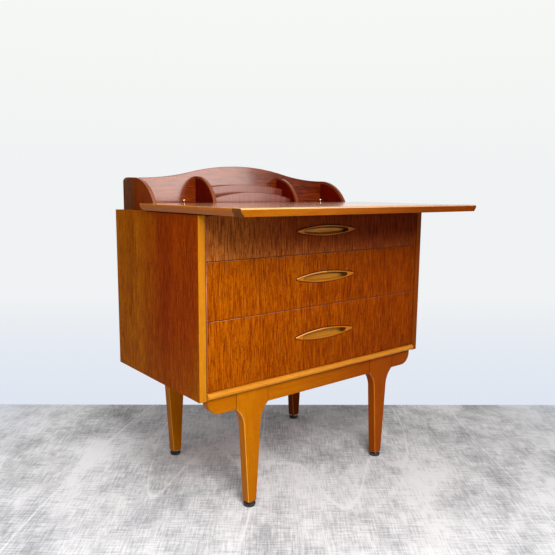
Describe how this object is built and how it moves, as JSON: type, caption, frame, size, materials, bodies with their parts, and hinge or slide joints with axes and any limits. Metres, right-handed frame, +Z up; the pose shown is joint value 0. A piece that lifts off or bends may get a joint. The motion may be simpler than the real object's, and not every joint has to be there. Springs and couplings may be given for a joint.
{
  "type": "writing chest of drawers",
  "caption": "Chest of drawers on shaped plank legs, with a top board that slides forward as a desk and a letter rack that rises behind it",
  "frame": {"origin": "On the floor, under the middle of the whole outline at rest, from the drawn board's front edge to the case's back", "axes": "+X to the right as one faces the drawers, -Y to the front where the drawers open, +Z up"},
  "size_m": [0.7804, 0.583, 0.838],
  "materials": {
    "side_veneer": "satin lacquered veneer, upright grain",
    "front_veneer": "satin lacquered veneer, upright grain",
    "solid_lipping": "satin lacquered solid wood",
    "frame_wood": "satin lacquered solid wood",
    "pull_wood": "satin lacquered solid wood",
    "board_veneer": "semi-gloss lacquered veneer",
    "rack_veneer": "semi-gloss lacquered veneer",
    "rack_end_veneer": "semi-gloss lacquered veneer",
    "carcass_wood": "plain wood",
    "drawer_wood": "plain wood",
    "back_ply": "plain plywood",
    "brass": "polished",
    "foot_plastic": "matte"
  },
  "bodies": {
    "case": {"side_panel_left": "side_veneer", "side_panel_right": "side_veneer", "side_lipping_left": "solid_lipping", "side_lipping_right": "solid_lipping", "case_bottom": "carcass_wood", "case_back": "back_ply", "well_partition": "carcass_wood", "front_top_rail": "carcass_wood", "base_moulding": "solid_lipping", "dust_board_lower": "carcass_wood", "dust_board_upper": "carcass_wood", "front_apron": "frame_wood", "rear_apron": "frame_wood", "front_cleat": "carcass_wood", "rear_cleat": "carcass_wood", "leg_front_left": "frame_wood", "leg_front_right": "frame_wood", "leg_rear_left": "frame_wood", "leg_rear_right": "frame_wood", "ear_front_left": "frame_wood", "ear_front_right": "frame_wood", "ear_rear_left": "frame_wood", "ear_rear_right": "frame_wood", "glide_front_left": "foot_plastic", "glide_front_right": "foot_plastic", "glide_rear_left": "foot_plastic", "glide_rear_right": "foot_plastic"},
    "desk_board": {"board_core": "board_veneer", "board_lipping": "solid_lipping", "board_batten_left": "carcass_wood", "board_batten_right": "carcass_wood"},
    "letter_rack": {"gallery_back": "rack_veneer", "gallery_cheek_left": "rack_end_veneer", "gallery_cheek_right": "rack_end_veneer", "gallery_divider_left": "rack_end_veneer", "gallery_divider_right": "rack_end_veneer", "gallery_floor": "rack_veneer", "rack_board_rear": "rack_veneer", "rack_board_front": "rack_veneer", "gallery_knob_left": "brass", "gallery_knob_right": "brass"},
    "drawer_top": {"drawer_front_top": "front_veneer", "drawer_pull_top": "pull_wood", "drawer_side_left_top": "drawer_wood", "drawer_side_right_top": "drawer_wood", "drawer_bottom_top": "drawer_wood", "drawer_back_top": "drawer_wood"},
    "drawer_middle": {"drawer_front_middle": "front_veneer", "drawer_pull_middle": "pull_wood", "drawer_side_left_middle": "drawer_wood", "drawer_side_right_middle": "drawer_wood", "drawer_bottom_middle": "drawer_wood", "drawer_back_middle": "drawer_wood"},
    "drawer_bottom": {"drawer_front_bottom": "front_veneer", "drawer_pull_bottom": "pull_wood", "drawer_side_left_bottom": "drawer_wood", "drawer_side_right_bottom": "drawer_wood", "drawer_bottom_bottom": "drawer_wood", "drawer_back_bottom": "drawer_wood"}
  },
  "joints": [
    {"name": "board_slide", "type": "slide", "parent": "case", "child": "desk_board", "axis": [0, 1, 0], "range_m": [0, 0.16]},
    {"name": "rack_lift", "type": "slide", "parent": "case", "child": "letter_rack", "axis": [0, 0, -1], "range_m": [0, 0.2]},
    {"name": "drawer_slide_top", "type": "slide", "parent": "case", "child": "drawer_top", "axis": [0, -1, 0], "range_m": [0, 0.18]},
    {"name": "drawer_slide_middle", "type": "slide", "parent": "case", "child": "drawer_middle", "axis": [0, -1, 0], "range_m": [0, 0.18]},
    {"name": "drawer_slide_bottom", "type": "slide", "parent": "case", "child": "drawer_bottom", "axis": [0, -1, 0], "range_m": [0, 0.18]}
  ],
  "couplings": [
    {"joint": "rack_lift", "follows": "board_slide", "ratio": 1.25}
  ]
}
